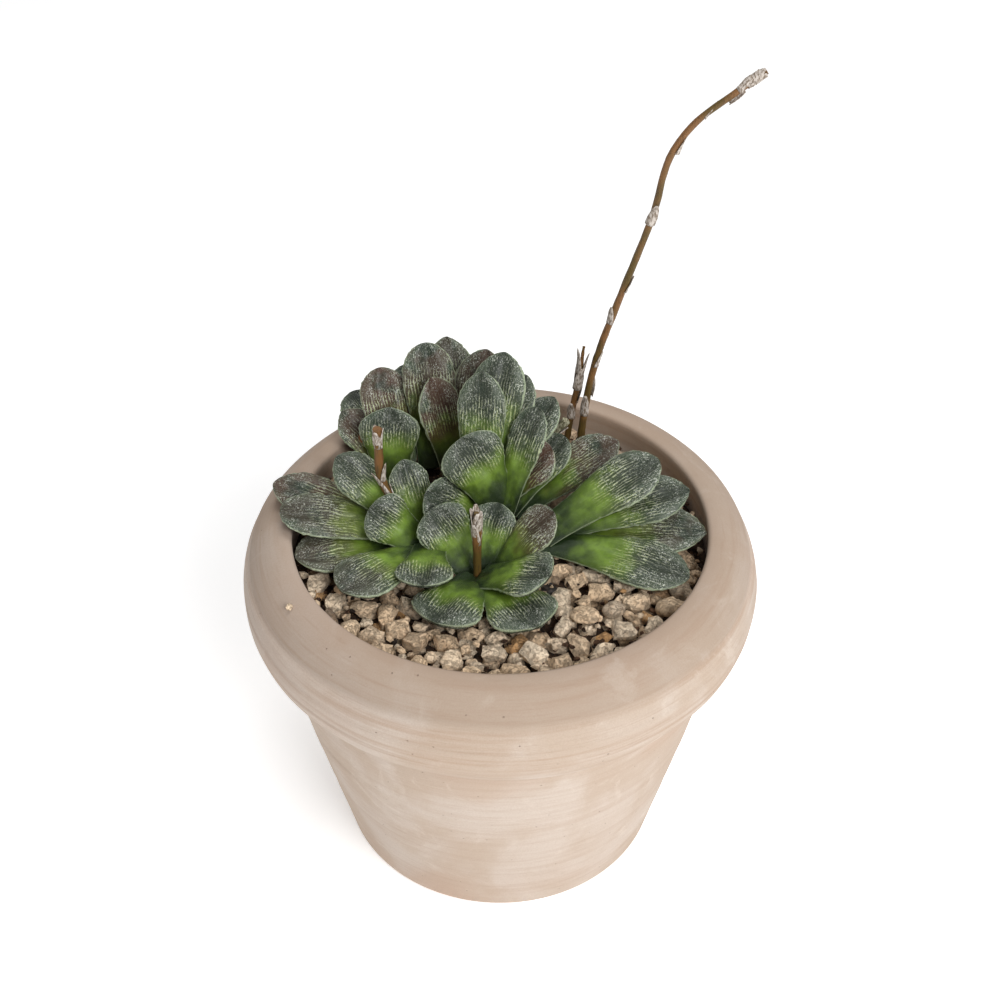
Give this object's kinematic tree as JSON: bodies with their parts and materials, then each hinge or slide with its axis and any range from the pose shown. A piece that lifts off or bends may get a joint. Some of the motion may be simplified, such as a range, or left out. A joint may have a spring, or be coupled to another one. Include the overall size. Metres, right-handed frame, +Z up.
{
  "type": "potted succulent",
  "caption": "Low clump of thick blunt-tipped succulent leaves with dried flower stalks, in gravel in a round clay pot with a rolled collar.",
  "frame": {"origin": "centre of the pot's flat underside, on the pot's axis", "axes": "+Z up along the pot's axis, -Y towards the front of the plant, +X to its right seen from the front"},
  "size_m": [0.141, 0.141, 0.2197],
  "materials": {
    "terracotta": "unglazed, sandy and mottled",
    "soil": "loose and dark",
    "gravel": "rough stones",
    "pebble": "worn stone",
    "leaf": "waxy and finely rough",
    "dead_leaf": "shrivelled",
    "stem": "fibrous",
    "dry_stalk": "dry and fibrous"
  },
  "bodies": {
    "root": {"dead_leaf": "dead_leaf", "flower_stalk_short": "dry_stalk", "flower_stalk_tall": "dry_stalk", "gravel_layer": "gravel", "leaf_far_01": "leaf", "leaf_far_02": "leaf", "leaf_far_03": "leaf", "leaf_far_04": "leaf", "leaf_far_05": "leaf", "leaf_front_01": "leaf", "leaf_front_02": "leaf", "leaf_front_03": "leaf", "leaf_front_04": "leaf", "leaf_front_05": "leaf", "leaf_front_06": "leaf", "leaf_left_01": "leaf", "leaf_left_02": "leaf", "leaf_left_03": "leaf", "leaf_left_04": "leaf", "leaf_left_05": "leaf", "leaf_left_06": "leaf", "leaf_left_07": "leaf", "leaf_left_08": "leaf", "leaf_mid_01": "leaf", "leaf_mid_02": "leaf", "leaf_mid_03": "leaf", "leaf_mid_04": "leaf", "leaf_mid_05": "leaf", "leaf_mid_06": "leaf", "leaf_mid_07": "leaf", "leaf_mid_08": "leaf", "leaf_mid_09": "leaf", "leaf_mid_10": "leaf", "leaf_mid_11": "leaf", "leaf_rear_01": "leaf", "leaf_rear_02": "leaf", "leaf_rear_03": "leaf", "leaf_rear_04": "leaf", "leaf_rear_05": "leaf", "leaf_rear_06": "leaf", "leaf_rear_07": "leaf", "leaf_right_01": "leaf", "leaf_right_02": "leaf", "leaf_right_03": "leaf", "leaf_right_04": "leaf", "pebble_flat_oval": "pebble", "pebble_speckled": "pebble", "pot": "terracotta", "potting_soil": "soil", "stalk_stub_mid": "dry_stalk", "stalk_stump_front": "dry_stalk", "stalk_stump_left": "dry_stalk", "stem_far": "stem", "stem_front": "stem", "stem_left": "stem", "stem_mid": "stem", "stem_rear": "stem", "stem_right": "stem"}
  },
  "joints": []
}
